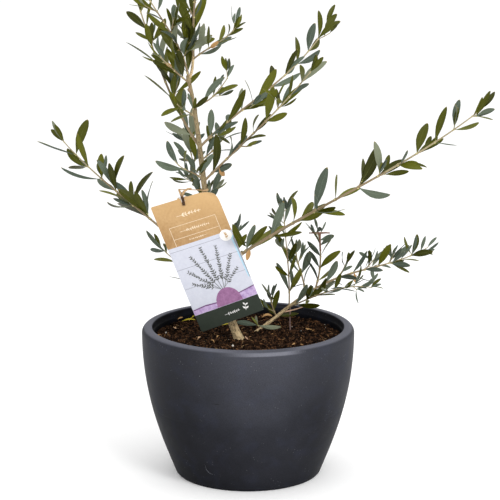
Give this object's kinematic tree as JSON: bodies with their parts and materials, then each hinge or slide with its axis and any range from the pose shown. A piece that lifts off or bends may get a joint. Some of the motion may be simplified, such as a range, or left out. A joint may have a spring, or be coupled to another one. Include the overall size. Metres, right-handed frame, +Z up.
{
  "type": "potted olive tree",
  "caption": "Young olive tree with open, rising boughs of narrow grey-green leaves, in a round charcoal pot of compost, with a printed plant label hanging on its trunk.",
  "frame": {"origin": "centre of the pot's flat underside", "axes": "+Z up, -Y the side that the label's print faces, +X towards the long bough"},
  "size_m": [0.5654, 0.3312, 0.7516],
  "materials": {
    "pot": "moulded charcoal plastic, satin, with fine pale speckles",
    "soil": "loose dark bark compost",
    "bark": "smooth young grey-tan bark",
    "label": "printed card, silk",
    "tie": "brown paper strap",
    "foliage": "leathery leaves, olive above and grey-green below"
  },
  "bodies": {
    "root": {"pot": "pot", "soil": "soil", "trunk": "bark", "bough_leader": "bark", "bough_left": "bark", "bough_right_long": "bark", "bough_right_low": "bark", "plant_label": "label", "label_tie": "tie", "foliage_left": "foliage", "foliage_left_low": "foliage", "foliage_right_long": "foliage", "foliage_right_low": "foliage", "foliage_upright": "foliage", "foliage_upright_short": "foliage", "foliage_upright_right": "foliage", "foliage_droop": "foliage", "foliage_foot": "foliage", "foliage_right_middle": "foliage", "foliage_right_upper": "foliage", "foliage_back": "foliage", "foliage_right_high": "foliage", "foliage_right_top": "foliage", "foliage_upper_left": "foliage", "foliage_front_left": "foliage", "foliage_front": "foliage", "foliage_left_high": "foliage", "foliage_top_left": "foliage", "foliage_top": "foliage", "foliage_back_low": "foliage", "foliage_back_high": "foliage"}
  },
  "joints": []
}
